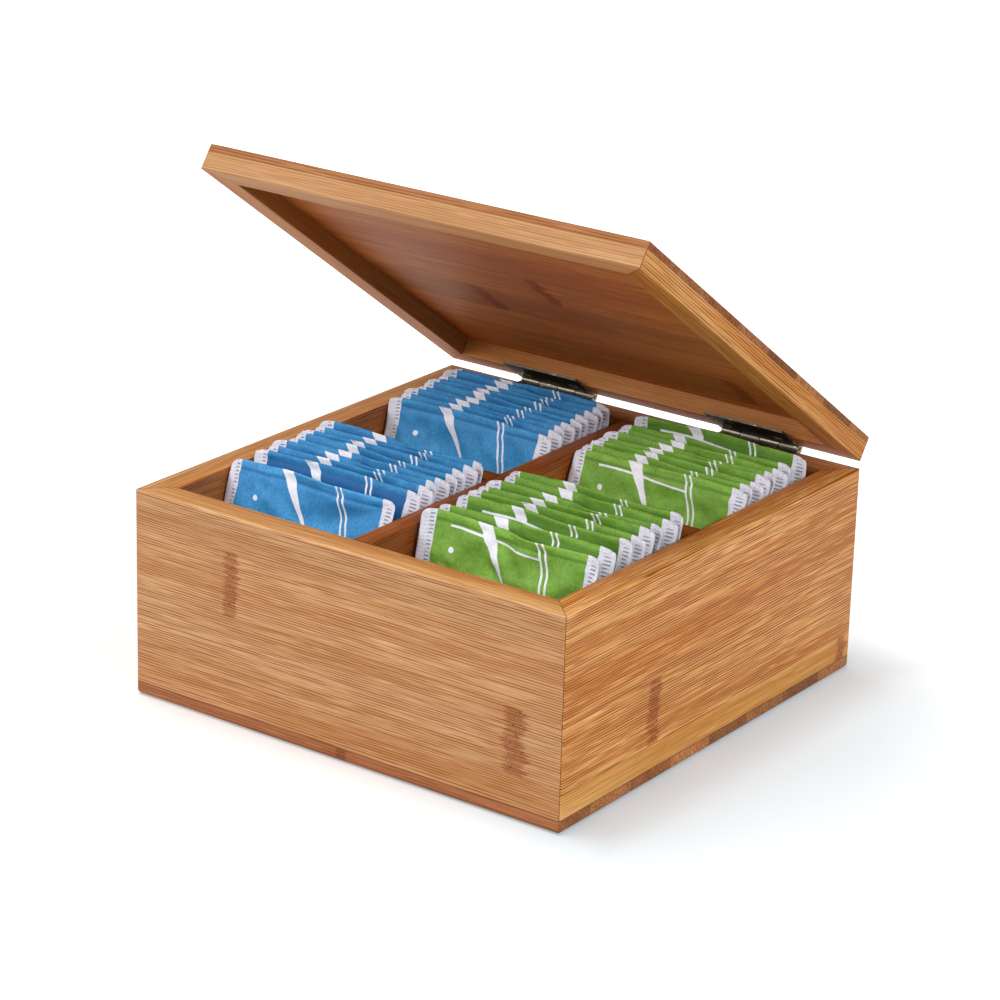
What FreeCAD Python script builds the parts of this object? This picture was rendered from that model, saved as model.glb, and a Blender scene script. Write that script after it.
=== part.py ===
"""Bamboo tea box with a hinged lid, four compartments and its tea sachets, in millimetres.

The base plate carries four mitred walls and two cross-lapped dividers. The lid is a panel on four
mitred rails and stands open at its rest angle, turned about the pins of two butt hinges. The origin
is the centre of the underside, +X runs to the right along the front, +Y to the hinges, +Z up.
"""
import FreeCAD, Part

import math
import os

import Sketcher

SIZES = (
    ("BoxWidth", 170.0, "outer width of the walls, along X"),
    ("BoxDepth", 170.0, "outer depth of the walls, along Y"),
    ("WallHeight", 67.0, "height of the walls above the base plate"),
    ("WallThickness", 10.0, "thickness of each wall"),
    ("BaseThickness", 4.5, "thickness of the base plate"),
    ("CornerRound", 1.0, "radius of the upright outer corners"),
    ("TopEase", 0.7, "radius of the eased top edges of the walls"),
    ("BaseRound", 1.5, "radius of the bottom edges of the base plate"),
    ("AlongThickness", 7.0, "thickness of the divider that runs front to back"),
    ("AcrossThickness", 5.5, "thickness of the divider that runs side to side"),
    ("DividerEase", 0.4, "radius of the eased top edges of the dividers"),
    ("SlotPlay", 0.1, "play on each side of the dividers' cross-lap"),
    ("LidInset", 0.25, "distance of the lid's sides inside the walls' sides"),
    ("LidGap", 1.0, "gap between the walls and the shut lid"),
    ("RailHeight", 6.2, "height of the rails under the lid panel"),
    ("RailWidth", 9.5, "width of the rails under the lid panel"),
    ("RailEase", 0.5, "radius of the eased lower edges of the rails"),
    ("PanelEdge", 2.5, "height of the upright edge of the lid panel"),
    ("PanelCrown", 1.6, "height of the sloped border on the lid panel"),
    ("PanelBorder", 5.0, "width of the sloped border on the lid panel"),
    ("CrownRound", 8.0, "radius where the border meets the flat top"),
    ("ShoulderRound", 1.0, "radius where the border meets the upright edge"),
    ("OpenAngle", 35.3, "angle at which the lid stands open, in degrees"),
    ("HingeLength", 31.0, "length of a hinge along its pin"),
    ("HingeLeftPlace", -39.0, "X of the middle of the left hinge"),
    ("HingeRightPlace", 45.0, "X of the middle of the right hinge"),
    ("LeafReach", 14.4, "reach of a leaf in from the back face of the box"),
    ("LeafThickness", 0.8, "thickness of a leaf"),
    ("LeafParting", 0.1, "gap between the two leaves of a shut hinge"),
    ("BarrelRadius", 1.5, "outer radius of the knuckles"),
    ("BarrelGap", 0.3, "gap between the knuckles and the back face of the box"),
    ("KnuckleGap", 0.3, "gap between neighbouring knuckles"),
    ("NotchGap", 0.35, "gap between a leaf and the other leaf's knuckles"),
    ("PinRadius", 0.7, "radius of the hinge pin"),
    ("PinPlay", 0.04, "radial play of the pin in the knuckles"),
    ("PinHead", 0.4, "height of the rounded head at each end of the pin"),
    ("ScrewSpread", 10.0, "distance of a screw from the middle of its hinge"),
    ("ScrewPlace", 5.6, "distance of a screw in front of the back face"),
    ("ScrewHead", 1.8, "radius of a countersunk screw head"),
    ("ScrewShank", 0.9, "radius of a screw shank"),
    ("ScrewLength", 5.0, "length of a screw, with its head"),
    ("ScrewTip", 1.2, "length of the pointed end of a screw"),
    ("ScrewPlay", 0.05, "play round a screw in its leaf and in the wood"),
    ("DriveLength", 2.2, "length of each slot of the cross in a screw head"),
    ("DriveWidth", 0.4, "width of each slot of the cross in a screw head"),
    ("DriveDepth", 0.4, "depth of the cross in a screw head"),
    ("SachetPlay", 1.25, "play at each end of a sachet in its compartment"),
    ("SachetHeadroom", 1.0, "gap between the most upright sachet and the shut lid's panel"),
    ("SachetPaper", 0.9, "thickness of a sachet's folded paper"),
    ("SealWidth", 5.5, "width of the sealed band at each end of a sachet"),
    ("FoldHeight", 2.5, "height of the flat fold above and below the filling"),
    ("PuffThickness", 4.1, "thickness of a sachet at the filling"),
    ("SeatGap", 0.1, "height of a sachet's lowest corner over the base plate"),
    ("LeafClearance", 1.2, "distance of the last sachet from the shut lid's hinge leaf"),
    ("RimClearance", 1.5, "distance of a sachet's middle from the divider it leans over"),
)

# Each row of sachets: (node name, column, row, count, pitch of the feet, lean of the first, of the
# last but one and of the last sachet in degrees, extra gaps as {sachet number: gap behind it}).
SACHET_ROWS = (
    ("sachet_blue_front", -1, -1, 9, 5.05, 17.5, 16.6, 16.5, {1: 7.6}),
    ("sachet_green_front", 1, -1, 8, 5.6, 14.0, 14.0, 14.0, {1: 2.6, 2: 4.6, 6: 0.9}),
    ("sachet_blue_back", -1, 1, 9, 5.2, 18.5, 13.7, 13.0, {}),
    ("sachet_green_back", 1, 1, 8, 5.1, 19.0, 17.0, 13.0, {7: 8.6}),
)
SACHET_YAW = 0.9
SACHET_ROLL = 0.45
PUFF_SPREAD = 0.06
KNUCKLE_COUNT = 4
SHUT_HALF = 0.5


class Size:
    """A length or an angle: its number, and the expression on the sheet that gives it."""

    def __init__(self, value, text):
        self.value = value
        self.text = text

    @staticmethod
    def of(item):
        """Return item as a Size, a plain number being its own expression."""
        return item if isinstance(item, Size) else Size(float(item), repr(float(item)))

    @staticmethod
    def _join(left, mark, right, value):
        return Size(value, f"({left.text} {mark} {right.text})")

    def __float__(self):
        return self.value

    def __neg__(self):
        return Size(-self.value, f"(0 - {self.text})")

    def __add__(self, other):
        other = Size.of(other)
        return Size._join(self, "+", other, self.value + other.value)

    def __sub__(self, other):
        other = Size.of(other)
        return Size._join(self, "-", other, self.value - other.value)

    def __mul__(self, other):
        other = Size.of(other)
        return Size._join(self, "*", other, self.value * other.value)

    def __truediv__(self, other):
        other = Size.of(other)
        return Size._join(self, "/", other, self.value / other.value)

    def __radd__(self, other):
        return Size.of(other) + self

    def __rsub__(self, other):
        return Size.of(other) - self

    def __rmul__(self, other):
        return Size.of(other) * self


class Sheet:
    """The document's spreadsheet of sizes, read as attributes."""

    def __init__(self, document):
        self.page = document.addObject("Spreadsheet::Sheet", "Sizes")
        for row, (alias, value, note) in enumerate(SIZES, start=1):
            self.page.set(f"A{row}", alias)
            self.page.set(f"B{row}", str(value))
            self.page.set(f"C{row}", note)
            self.page.setAlias(f"B{row}", alias)
        document.recompute()

    def __getattr__(self, alias):
        return Size(float(self.page.get(alias)), f"Sizes.{alias}")


document = FreeCAD.newDocument("TeaBox")
size = Sheet(document)
sub_parts = []


def bind(feature, **sizes):
    """Tie the feature's properties to sizes, a double underscore standing for a dot."""
    for path, amount in sizes.items():
        feature.setExpression(path.replace("__", "."), Size.of(amount).text)
    return feature


def place(feature, x=0.0, y=0.0, z=0.0, axis=(0, 0, 1), angle=0.0):
    """Turn the feature about an axis through its own origin and tie its origin to sizes."""
    rotation = FreeCAD.Rotation(FreeCAD.Vector(*axis), angle)
    feature.Placement = FreeCAD.Placement(FreeCAD.Vector(float(x), float(y), float(z)), rotation)
    return bind(feature, Placement__Base__x=x, Placement__Base__y=y, Placement__Base__z=z)


def keep(feature, label, placement=None):
    """List the feature as the sub-part with this label, moved to its placement if one is given."""
    feature.Label = label
    if placement is not None:
        feature.Placement = placement.multiply(feature.Placement)
    sub_parts.append(feature)
    return feature


def block(name, length, width, height, x, y, z):
    """Return a box with its low corner at x, y, z."""
    solid = document.addObject("Part::Box", name)
    bind(solid, Length=length, Width=width, Height=height)
    return place(solid, x, y, z)


def rod(name, radius, length, x, y, z, axis=(0, 0, 1), angle=0.0):
    """Return a cylinder from x, y, z along +Z, turned about the axis by the angle."""
    solid = document.addObject("Part::Cylinder", name)
    bind(solid, Radius=radius, Height=length)
    return place(solid, x, y, z, axis, angle)


def fuse(name, solids):
    """Return the union of the solids."""
    union = document.addObject("Part::MultiFuse", name)
    union.Shapes = solids
    union.Refine = True
    return union


def common(name, solids):
    """Return what the solids share."""
    shared = document.addObject("Part::MultiCommon", name)
    shared.Shapes = solids
    return shared


def cut(name, solid, tool):
    """Return the solid without the tool."""
    result = document.addObject("Part::Cut", name)
    result.Base = solid
    result.Tool = tool
    return result


def edge_numbers(shape, wanted):
    """Return the numbers of the shape's edges for which wanted(low, high) is true."""
    numbers = []
    for number, edge in enumerate(shape.Edges, start=1):
        box = edge.BoundBox
        low = FreeCAD.Vector(box.XMin, box.YMin, box.ZMin)
        high = FreeCAD.Vector(box.XMax, box.YMax, box.ZMax)
        if wanted(low, high):
            numbers.append(number)
    return numbers


def is_upright(low, high):
    """Tell whether an edge stands along Z."""
    return high.z - low.z > 0.1 and high.x - low.x < 0.001 and high.y - low.y < 0.001


def level_at(height):
    """Return a test for edges that lie at this height along X or Y."""
    def wanted(low, high):
        flat = abs(low.z - height) < 0.001 and abs(high.z - height) < 0.001
        return flat and min(high.x - low.x, high.y - low.y) < 0.001
    return wanted


def edges_along(axis, height):
    """Return a test for edges that run along the x or y axis at this height."""
    at_height = level_at(float(height))
    return lambda low, high: at_height(low, high) and getattr(high - low, axis) > 0.001


def rounded(name, solid, radius, wanted):
    """Return a Part::Fillet of this radius on the solid's wanted edges."""
    document.recompute()
    fillet = document.addObject("Part::Fillet", name)
    fillet.Base = solid
    fillet.Edges = [(number, float(radius), float(radius))
                    for number in edge_numbers(solid.Shape, wanted)]
    return fillet


def new_body(name):
    """Return an empty PartDesign body."""
    return document.addObject("PartDesign::Body", name)


def closed_outline(body, role, points):
    """Return a sketch of straight lines through the points on one of the body's origin planes.

    Each point's two distances from the origin are constraints tied to the sheet, and a plain 0
    keeps the point on that axis.
    """
    plane = next(item for item in body.Origin.OriginFeatures if item.Role == role)
    sketch = body.newObject("Sketcher::SketchObject", f"{body.Name}Outline")
    sketch.AttachmentSupport = [(plane, "")]
    sketch.MapMode = "FlatFace"
    corners = [FreeCAD.Vector(float(across), float(up), 0) for across, up in points]
    count = len(corners)
    for index in range(count):
        line = Part.LineSegment(corners[index], corners[(index + 1) % count])
        sketch.addGeometry(line, False)
    for index in range(count):
        following = (index + 1) % count
        sketch.addConstraint(Sketcher.Constraint("Coincident", index, 2, following, 1))
    for index, point in enumerate(points):
        for kind, other_axis, amount in (("DistanceX", -2, point[0]), ("DistanceY", -1, point[1])):
            if not isinstance(amount, Size):
                sketch.addConstraint(Sketcher.Constraint("PointOnObject", index, 1, other_axis))
                continue
            distance = Sketcher.Constraint(kind, -1, 1, index, 1, float(amount))
            number = sketch.addConstraint(distance)
            sketch.setExpression(f"Constraints[{number}]", amount.text)
    return sketch


def rectangle(width, depth):
    """Return the corners of a rectangle centred on the origin."""
    return ((-width / 2, -depth / 2), (width / 2, -depth / 2),
            (width / 2, depth / 2), (-width / 2, depth / 2))


def pad(body, sketch, length, symmetric=False):
    """Pad the sketch by a length, to one side or evenly to both."""
    feature = body.newObject("PartDesign::Pad", f"{sketch.Name}Pad")
    feature.Profile = sketch
    feature.SideType = "Symmetric" if symmetric else "One side"
    sketch.Visibility = False
    return bind(feature, Length=length)


def body_fillet(body, feature, radius, wanted):
    """Round the wanted edges of the body's last feature."""
    document.recompute()
    numbers = edge_numbers(feature.Shape, wanted)
    fillet = body.newObject("PartDesign::Fillet", f"{body.Name}Fillet")
    fillet.Base = (feature, [f"Edge{number}" for number in numbers])
    return bind(fillet, Radius=radius)


# ---- places that several sub-parts share ----

rim_height = size.BaseThickness + size.WallHeight
shut_height = rim_height + size.LidGap
axis_back = size.BarrelRadius + size.BarrelGap
axis_y = size.BoxDepth / 2 + axis_back
axis_z = rim_height + size.LidGap * SHUT_HALF
lid_width = size.BoxWidth - size.LidInset * 2
lid_depth = size.BoxDepth - size.LidInset * 2
leaf_front = size.BoxDepth / 2 - size.LeafReach
column_width = (size.BoxWidth - size.WallThickness * 2 - size.AlongThickness) / 2
column_middle = (column_width + size.AlongThickness) / 2
least_lean = min(lean for row in SACHET_ROWS for lean in row[5:8])
sachet_width = column_width - size.SachetPlay * 2
sachet_rise = size.WallHeight + size.LidGap + size.RailHeight - size.SeatGap - size.SachetHeadroom
sachet_height = sachet_rise / math.cos(math.radians(least_lean))


def open_lid():
    """Return the turn about the hinge pins that brings the shut lid to its open rest."""
    centre = FreeCAD.Vector(0, float(axis_y), float(axis_z))
    turn = FreeCAD.Rotation(FreeCAD.Vector(1, 0, 0), -float(size.OpenAngle))
    return FreeCAD.Placement(FreeCAD.Vector(0, 0, 0), turn, centre)


# ---- base plate, walls and dividers ----

def build_base():
    """Build the base plate, which has the full footprint of the walls."""
    body = new_body("Base")
    plate = pad(body, closed_outline(body, "XY_Plane", rectangle(size.BoxWidth, size.BoxDepth)),
                size.BaseThickness)
    corners = body_fillet(body, plate, size.CornerRound, is_upright)
    body_fillet(body, corners, size.BaseRound, lambda low, high: high.z < 0.001)
    keep(body, "base")


def mitred_side(name, run, reach, thickness, height, bottom, quarter):
    """Return one mitred side of a frame: a bar with 45 degree ends, turned by quarter turns.

    The bar's outer face lies at the reach from the middle of the frame.
    """
    bar = document.addObject("Part::Wedge", f"{name}Bar")
    bind(bar, Xmin=0, Ymin=0, Zmin=0, Xmax=run, Ymax=thickness, Zmax=height,
         X2min=thickness, X2max=run - thickness, Z2min=0, Z2max=height)
    cosine = (1, 0, -1, 0)[quarter]
    sine = (0, 1, 0, -1)[quarter]
    x = run * (-0.5 * cosine) + reach * sine
    y = run * (-0.5 * sine) - reach * cosine
    return place(bar, x, y, bottom, angle=90 * quarter)


SIDES = (("front", 0), ("right", 1), ("back", 2), ("left", 3))


def frame_sides(prefix, width, depth, thickness, height, bottom, ease, eased_height):
    """Return the four mitred sides of a frame by name, eased on the long edges at a height."""
    outside = block(f"{prefix}Outside", width, depth, height, -width / 2, -depth / 2, bottom)
    outside = rounded(f"{prefix}Corners", outside, size.CornerRound, is_upright)
    sides = {}
    for side, quarter in SIDES:
        run, across = (width, depth) if quarter % 2 == 0 else (depth, width)
        name = f"{prefix}{side.title()}"
        bar = mitred_side(name, run, across / 2, thickness, height, bottom, quarter)
        eased = rounded(f"{name}Eased", bar, ease, level_at(float(eased_height)))
        sides[side] = common(name, [eased, outside])
    return sides


def leaf_seats(name, mirror):
    """Return the shallow seats and screw holes for the leaves: mirror is -1 in the box, 1 in the lid."""
    tools = []
    seat_depth = size.LeafThickness - (size.LidGap - size.LeafParting) / 2
    hole_depth = size.ScrewLength + size.ScrewPlay
    face = axis_z + size.LidGap / 2 * mirror
    for side, middle in (("Left", size.HingeLeftPlace), ("Right", size.HingeRightPlace)):
        low = face - seat_depth if mirror < 0 else face - size.LidGap
        tools.append(block(f"{name}{side}Seat", size.HingeLength, size.LeafReach + axis_back,
                           seat_depth + size.LidGap, middle - size.HingeLength / 2, leaf_front, low))
        for number, offset in enumerate((-size.ScrewSpread, size.ScrewSpread)):
            mouth = axis_z + size.LeafParting / 2 * mirror
            tip = mouth + hole_depth * mirror if mirror < 0 else mouth
            tools.append(rod(f"{name}{side}Hole{number}", size.ScrewShank + size.ScrewPlay, hole_depth,
                             middle + offset, size.BoxDepth / 2 - size.ScrewPlace, tip))
    return fuse(f"{name}Seats", tools)


def build_walls():
    """Build the four mitred walls, the back one with the seats of the hinges."""
    walls = frame_sides("Wall", size.BoxWidth, size.BoxDepth, size.WallThickness, size.WallHeight,
                        size.BaseThickness, size.TopEase, rim_height)
    walls["back"] = cut("WallBackCut", walls["back"], leaf_seats("Wall", -1))
    for side, wall in walls.items():
        keep(wall, f"wall_{side}")


def divider_outline(length, slot_width, slot_at_top):
    """Return the outline of a divider seen from its face, with half of the cross-lap."""
    low = size.BaseThickness
    middle = size.BaseThickness + size.WallHeight / 2
    half = length / 2
    slot = slot_width / 2 + size.SlotPlay
    bottom = ((-half, low), (half, low))
    top = ((half, rim_height), (-half, rim_height))
    if slot_at_top:
        notch = ((slot, rim_height), (slot, middle), (-slot, middle), (-slot, rim_height))
        return bottom + top[:1] + notch + top[1:]
    notch = ((-slot, low), (-slot, middle), (slot, middle), (slot, low))
    return bottom[:1] + notch + bottom[1:] + top


def build_dividers():
    """Build the two dividers, which lap half and half where they cross."""
    inner_width = size.BoxWidth - size.WallThickness * 2
    inner_depth = size.BoxDepth - size.WallThickness * 2
    boards = (("divider_along", "YZ_Plane", "y", inner_depth, size.AlongThickness,
               size.AcrossThickness, False),
              ("divider_across", "XZ_Plane", "x", inner_width, size.AcrossThickness,
               size.AlongThickness, True))
    for label, role, axis, length, thickness, other, slot_at_top in boards:
        body = new_body(label.title().replace("_", ""))
        outline = closed_outline(body, role, divider_outline(length, other, slot_at_top))
        board = pad(body, outline, thickness, symmetric=True)
        body_fillet(body, board, size.DividerEase, edges_along(axis, rim_height))
        keep(body, label)


# ---- lid ----

def build_lid():
    """Build the lid's four mitred rails and its panel with a soft sloped border."""
    rails = frame_sides("Rail", lid_width, lid_depth, size.RailWidth, size.RailHeight, shut_height,
                        size.RailEase, shut_height)
    rails["back"] = cut("RailBackCut", rails["back"], leaf_seats("Rail", 1))
    for side, rail in rails.items():
        keep(rail, f"lid_rail_{side}", open_lid())

    bottom = shut_height + size.RailHeight
    thickness = size.PanelEdge + size.PanelCrown
    outside = block("PanelOutside", lid_width, lid_depth, thickness,
                    -lid_width / 2, -lid_depth / 2, bottom)
    outside = rounded("PanelCorners", outside, size.CornerRound, is_upright)
    along = panel_slab("PanelAlong", "XZ_Plane", "y", lid_width, lid_depth, bottom)
    across = panel_slab("PanelAcross", "YZ_Plane", "x", lid_depth, lid_width, bottom)
    keep(common("Panel", [along, across, outside]), "lid_panel", open_lid())


def panel_slab(name, role, axis, width, length, bottom):
    """Return a long slab with the lid's sloped border on its two long sides."""
    body = new_body(name)
    shoulder = bottom + size.PanelEdge
    top = shoulder + size.PanelCrown
    half = width / 2
    flat = half - size.PanelBorder
    outline = closed_outline(body, role, (
        (-half, bottom), (half, bottom), (half, shoulder), (flat, top), (-flat, top),
        (-half, shoulder)))
    slab = pad(body, outline, length, symmetric=True)
    eased = body_fillet(body, slab, size.ShoulderRound, edges_along(axis, shoulder))
    body_fillet(body, eased, size.CrownRound, edges_along(axis, top))
    return body


# ---- hinges ----

def hinge_leaf(name, middle, mirror):
    """Return one leaf with its knuckles: mirror is -1 for the box's leaf and 1 for the lid's."""
    start = middle - size.HingeLength / 2
    pitch = size.HingeLength / KNUCKLE_COUNT
    inner = size.LeafParting / 2
    low = axis_z + inner if mirror > 0 else axis_z - inner - size.LeafThickness
    plate = block(f"{name}Plate", size.HingeLength, size.LeafReach + axis_back, size.LeafThickness,
                  start, leaf_front, low)
    knuckles = []
    notches = []
    for index in range(KNUCKLE_COUNT):
        own = (index % 2 == 0) == (mirror < 0)
        if own:
            knuckles.append(rod(f"{name}Knuckle{index}", size.BarrelRadius, pitch - size.KnuckleGap,
                                start + pitch * index + size.KnuckleGap / 2, axis_y, axis_z,
                                (0, 1, 0), 90))
        else:
            notches.append(rod(f"{name}Notch{index}", size.BarrelRadius + size.NotchGap,
                               pitch + size.KnuckleGap,
                               start + pitch * index - size.KnuckleGap / 2, axis_y, axis_z,
                               (0, 1, 0), 90))
    bore = rod(f"{name}Bore", size.PinRadius + size.PinPlay, size.HingeLength + 2,
               start - 1, axis_y, axis_z, (0, 1, 0), 90)
    sinks = [countersink(f"{name}Sink{number}", middle + offset, mirror)
             for number, offset in enumerate((-size.ScrewSpread, size.ScrewSpread))]
    return cut(name, fuse(f"{name}Solid", [plate] + knuckles),
               fuse(f"{name}Tools", notches + [bore] + sinks))


def countersink(name, x, mirror):
    """Return the cone that a screw head needs in a leaf, widest at the leaf's exposed face."""
    cone = document.addObject("Part::Cone", name)
    bind(cone, Radius1=size.ScrewHead + size.ScrewPlay, Radius2=size.ScrewShank + size.ScrewPlay,
         Height=size.LeafThickness)
    y = size.BoxDepth / 2 - size.ScrewPlace
    return place(cone, x, y, axis_z + size.LeafParting / 2 * mirror, (1, 0, 0),
                 180 if mirror < 0 else 0)


def hinge_pin(name, middle):
    """Return a hinge pin with a rounded head at each end."""
    start = middle - size.HingeLength / 2
    shaft = rod(f"{name}Shaft", size.PinRadius, size.HingeLength + size.PinHead * 2,
                start - size.PinHead, axis_y, axis_z, (0, 1, 0), 90)
    document.recompute()
    ends = edge_numbers(shaft.Shape, lambda low, high: high.x - low.x < 0.001)
    fillet = document.addObject("Part::Fillet", name)
    fillet.Base = shaft
    fillet.Edges = [(number, float(size.PinHead), float(size.PinHead)) for number in ends]
    return fillet


def hinge_screw(name, x, mirror):
    """Return a countersunk wood screw with a cross in its head, its axis along Z."""
    body = new_body(f"{name}Blank")
    outline = closed_outline(body, "XZ_Plane", (
        (0, 0), (size.ScrewHead, 0), (size.ScrewShank, -size.LeafThickness),
        (size.ScrewShank, size.ScrewTip - size.ScrewLength), (0, -size.ScrewLength)))
    turned = body.newObject("PartDesign::Revolution", f"{name}Turned")
    turned.Profile = outline
    turned.ReferenceAxis = (outline, ["V_Axis"])
    turned.Angle = 360
    outline.Visibility = False
    y = size.BoxDepth / 2 - size.ScrewPlace
    face = axis_z + size.LeafParting / 2 * mirror
    place(body, x, y, face, (1, 0, 0), 0 if mirror < 0 else 180)
    slots = [block(f"{name}Slot{mark}", length, width, size.DriveDepth * 2,
                   x - length / 2, y - width / 2, face - size.DriveDepth)
             for mark, length, width in (("Along", size.DriveLength, size.DriveWidth),
                                         ("Across", size.DriveWidth, size.DriveLength))]
    return cut(name, body, fuse(f"{name}Slots", slots))


def build_hinges():
    """Build two butt hinges: a leaf on the box, a leaf on the lid, a pin and four screws each."""
    for side, middle in (("left", size.HingeLeftPlace), ("right", size.HingeRightPlace)):
        name = f"Hinge{side.title()}"
        for holder, mirror, placement in (("box", -1, None), ("lid", 1, open_lid())):
            leaf = hinge_leaf(f"{name}{holder.title()}", middle, mirror)
            keep(leaf, f"hinge_{side}_{holder}_leaf", placement)
            for number, offset in enumerate((-size.ScrewSpread, size.ScrewSpread), start=1):
                screw = hinge_screw(f"{name}{holder.title()}Screw{number}", middle + offset, mirror)
                keep(screw, f"hinge_{side}_{holder}_screw_{number}", placement)
        keep(hinge_pin(f"{name}Pin", middle), f"hinge_{side}_pin")


# ---- sachets ----

def lens_radius(length, thickness):
    """Return the radius of the arcs of a lens of this length and thickness."""
    return (length * length / 4 + thickness * thickness / 4) / thickness


def sachet(name, puff):
    """Return an upright sachet: flat folded paper with a pillow of filling, its foot at the origin.

    The pillow is what four large cylinders share: two bulge along the height and two along the
    width. The puff scales the pillow's thickness.
    """
    half_paper = size.SachetPaper / 2
    paper = block(f"{name}Paper", sachet_width, size.SachetPaper, sachet_height,
                  -sachet_width / 2, -half_paper, 0)
    paper = rounded(f"{name}Folded", paper, size.SachetPaper * 0.45, level_at(float(sachet_height)))
    thickness = size.PuffThickness * puff
    pillow_width = sachet_width - size.SealWidth * 2
    pillow_height = sachet_height - size.FoldHeight * 2
    tall = lens_radius(pillow_height, thickness)
    wide = lens_radius(pillow_width, thickness)
    walls = []
    for mark, facing in (("Front", 1), ("Back", -1)):
        walls.append(rod(f"{name}Tall{mark}", tall, pillow_width, -pillow_width / 2,
                         (tall - thickness / 2) * facing, sachet_height / 2, (0, 1, 0), 90))
        walls.append(rod(f"{name}Wide{mark}", wide, pillow_height, 0,
                         (wide - thickness / 2) * facing, size.FoldHeight))
    return fuse(name, [paper, common(f"{name}Pillow", walls)])


def row_feet(count, pitch, gaps, last):
    """Return the Y of each sachet's foot, stepping forward from the last by the pitch and gaps."""
    feet = [last]
    for number in range(count - 1, 0, -1):
        feet.insert(0, feet[0] - pitch - gaps.get(number, 0.0))
    return feet


def last_foot(row, lean):
    """Return the Y of the foot of the last sachet in a row.

    A front row leans over the divider's top edge. A back row stops clear of the hinge leaf of the
    shut lid.
    """
    slope = math.tan(math.radians(lean))
    if row < 0:
        support = -float(size.AcrossThickness) / 2 - float(size.RimClearance)
        return support - float(size.WallHeight) * slope
    support = float(leaf_front) - float(size.LeafClearance) - float(size.SachetPaper) / 2
    return support - float(size.WallHeight + size.LidGap) * slope


def build_sachets():
    """Build the four rows of sachets, each leaning back and a little out of square."""
    for order, (prefix, column, row, count, pitch, *leans, gaps) in enumerate(SACHET_ROWS):
        first_lean, next_lean, last_lean = leans
        feet = row_feet(count, pitch, gaps, last_foot(row, last_lean))
        for index, foot in enumerate(feet):
            number = index + 1
            wave = 2.4 * number + 1.3 * order
            lean = first_lean + (next_lean - first_lean) * index / (count - 2)
            lean = last_lean if number == count else lean
            yaw = SACHET_YAW * math.sin(wave)
            roll = SACHET_ROLL * math.cos(1.7 * wave)
            puff = 1.0 + PUFF_SPREAD * math.sin(3.1 * wave)
            name = prefix.title().replace("_", "") + str(number)
            lift = float(size.SachetPaper) / 2 * math.sin(math.radians(lean))
            lift += float(sachet_width) / 2 * math.sin(math.radians(abs(roll)))
            height = float(size.BaseThickness + size.SeatGap) + lift
            turn = (FreeCAD.Rotation(FreeCAD.Vector(0, 0, 1), yaw)
                    .multiply(FreeCAD.Rotation(FreeCAD.Vector(1, 0, 0), -lean))
                    .multiply(FreeCAD.Rotation(FreeCAD.Vector(0, 1, 0), roll)))
            placement = FreeCAD.Placement(FreeCAD.Vector(float(column_middle) * column, foot, height), turn)
            keep(sachet(name, puff), f"{prefix}_{number}", placement)


def check_and_write():
    """Stop at any failed feature or bad shape, then write each sub-part to parts/LABEL.step."""
    document.recompute()
    for item in document.Objects:
        if "Invalid" in item.State or "Error" in item.State:
            raise RuntimeError(f"{item.Name} failed: {item.State}")
    os.makedirs("parts", exist_ok=True)
    for feature in sub_parts:
        shape = feature.Shape
        if shape.isNull() or not shape.isValid() or len(shape.Solids) != 1:
            raise RuntimeError(f"{feature.Label} is not one valid solid")
    for feature in sub_parts:
        feature.Shape.exportStep(f"parts/{feature.Label}.step")
    print(f"{len(sub_parts)} sub-parts written")


build_base()
build_walls()
build_dividers()
build_lid()
build_hinges()
build_sachets()
check_and_write()
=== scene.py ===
"""Looks of the bamboo tea box: varnished bamboo boards, bronze hinges and paper tea sachets.

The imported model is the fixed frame, in metres. Its wood and hinges keep their shape and get their
finishes here. The sachets are modelled anew, each in the place of its plain solid.
"""
from __future__ import annotations

import logging
import math
import random
from dataclasses import dataclass, field
from enum import Enum, IntEnum
from typing import Any, Callable, Sequence, Union

import bpy
from mathutils import Matrix, Vector, noise


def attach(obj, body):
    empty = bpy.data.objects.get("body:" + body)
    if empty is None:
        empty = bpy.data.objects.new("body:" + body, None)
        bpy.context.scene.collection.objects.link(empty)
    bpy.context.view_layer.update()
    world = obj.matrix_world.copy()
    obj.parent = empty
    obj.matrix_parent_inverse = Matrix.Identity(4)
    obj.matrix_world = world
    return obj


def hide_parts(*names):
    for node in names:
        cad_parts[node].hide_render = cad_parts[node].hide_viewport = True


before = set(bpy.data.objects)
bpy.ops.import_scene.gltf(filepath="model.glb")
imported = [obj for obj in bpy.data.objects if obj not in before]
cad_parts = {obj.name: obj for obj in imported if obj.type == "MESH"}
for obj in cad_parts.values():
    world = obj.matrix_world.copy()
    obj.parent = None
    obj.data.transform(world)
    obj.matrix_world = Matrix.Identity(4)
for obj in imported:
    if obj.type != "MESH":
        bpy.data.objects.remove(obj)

Colour = tuple[float, float, float]
Operand = Union["Value", float]

log = logging.getLogger("tea_box")

MM = 0.001

PIN = Vector((0.0, 86.8 * MM, 72.0 * MM))
OPENING = math.radians(35.3)
BOX_HALF = 85.0 * MM
BASE_TOP = 4.5 * MM
LEAF_FRONT = 70.6 * MM
FOLD_DOWN = 3.2 * MM


class Axis(IntEnum):
    """A direction in the frame of a board."""

    X = 0
    Y = 1
    Z = 2


class PaperColour(Enum):
    """The two printings of the sachets, with the light and the deep tone of each."""

    BLUE = ((0.068, 0.365, 0.715), (0.002, 0.074, 0.255))
    GREEN = ((0.255, 0.480, 0.070), (0.048, 0.150, 0.004))

    @property
    def light(self) -> Colour:
        """Return the tone of the open face."""
        return self.value[0]

    @property
    def deep(self) -> Colour:
        """Return the deep tone: the low end of the ink's mottle and the colour of the painted shade
        at the fold and below it.
        """
        return self.value[1]


# ---- Shader graphs -----------------------------------------------


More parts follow.
